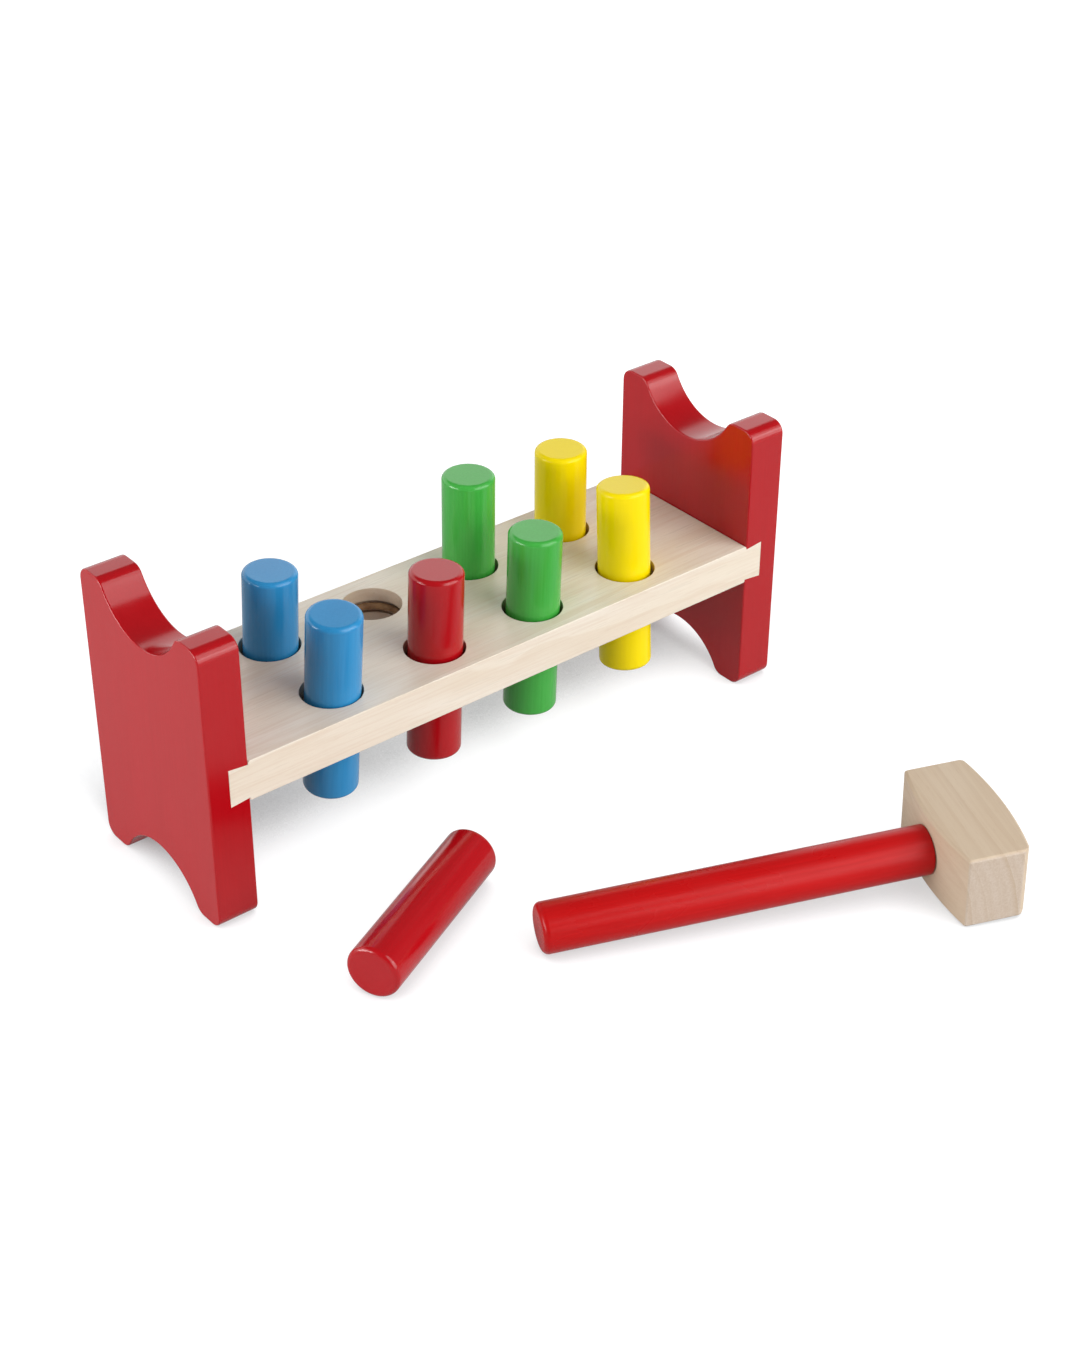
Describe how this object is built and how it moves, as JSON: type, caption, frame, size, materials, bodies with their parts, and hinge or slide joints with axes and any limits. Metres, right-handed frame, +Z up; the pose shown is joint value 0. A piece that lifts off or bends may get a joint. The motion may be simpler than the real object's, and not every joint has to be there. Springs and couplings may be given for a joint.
{
  "type": "peg pounding bench",
  "caption": "Low wooden toy bench with scooped end boards and a drilled plank, whose round pegs are driven through grip rings; a loose peg and a crowned mallet lie in front.",
  "frame": {"origin": "on the floor, at the middle of the box round the whole set as it lies, with the mallet and the loose peg in front of the bench", "axes": "+Z up, +X along the bench towards its right end board, -Y towards the front, where the mallet lies"},
  "size_m": [0.292, 0.272, 0.126],
  "materials": {
    "natural_wood": "sanded natural pine under a thin clear coat",
    "mallet_wood": "sanded natural hardwood",
    "red_paint": "wood under gloss red paint",
    "blue_paint": "wood under gloss blue paint",
    "green_paint": "wood under gloss green paint",
    "yellow_paint": "wood under gloss yellow paint",
    "grip_rubber": "matt natural gum rubber"
  },
  "bodies": {
    "bench": {"left_end_board": "red_paint", "right_end_board": "red_paint", "plank": "natural_wood", "blue_back_ring": "grip_rubber", "red_back_ring": "grip_rubber", "green_back_ring": "grip_rubber", "yellow_back_ring": "grip_rubber", "blue_front_ring": "grip_rubber", "red_front_ring": "grip_rubber", "green_front_ring": "grip_rubber", "yellow_front_ring": "grip_rubber"},
    "blue_front_peg": {"blue_front_peg": "blue_paint"},
    "red_front_peg": {"red_front_peg": "red_paint"},
    "green_front_peg": {"green_front_peg": "green_paint"},
    "yellow_front_peg": {"yellow_front_peg": "yellow_paint"},
    "blue_back_peg": {"blue_back_peg": "blue_paint"},
    "green_back_peg": {"green_back_peg": "green_paint"},
    "yellow_back_peg": {"yellow_back_peg": "yellow_paint"},
    "loose_red_peg": {"loose_red_peg": "red_paint"},
    "mallet": {"mallet_head": "mallet_wood", "mallet_handle": "red_paint"}
  },
  "joints": [
    {"name": "blue_front_peg_slide", "type": "slide", "parent": "bench", "child": "blue_front_peg", "axis": [0.0159, -0.0807, 0.9966], "range_m": [-0.02508, 0.04988]},
    {"name": "red_front_peg_slide", "type": "slide", "parent": "bench", "child": "red_front_peg", "axis": [0.0467, 0.008, 0.9989], "range_m": [-0.02352, 0.05126]},
    {"name": "green_front_peg_slide", "type": "slide", "parent": "bench", "child": "green_front_peg", "axis": [0.029, -0.009, 0.9995], "range_m": [-0.02389, 0.05085]},
    {"name": "yellow_front_peg_slide", "type": "slide", "parent": "bench", "child": "yellow_front_peg", "axis": [0.0229, 0.079, 0.9966], "range_m": [-0.02599, 0.04896]},
    {"name": "blue_back_peg_slide", "type": "slide", "parent": "bench", "child": "blue_back_peg", "axis": [0.0352, -0.0276, 0.999], "range_m": [-0.02296, 0.05182]},
    {"name": "green_back_peg_slide", "type": "slide", "parent": "bench", "child": "green_back_peg", "axis": [0.007, -0.0055, 1], "range_m": [-0.03195, 0.04276]},
    {"name": "yellow_back_peg_slide", "type": "slide", "parent": "bench", "child": "yellow_back_peg", "axis": [0, 0, 1], "range_m": [-0.02763, 0.04707]},
    {"name": "loose_red_peg_lift", "type": "slide", "parent": "bench", "child": "loose_red_peg", "axis": [0, 0, 1], "range_m": [0, 0.12]},
    {"name": "mallet_lift", "type": "slide", "parent": "bench", "child": "mallet", "axis": [0, 0, 1], "range_m": [0, 0.15]}
  ]
}
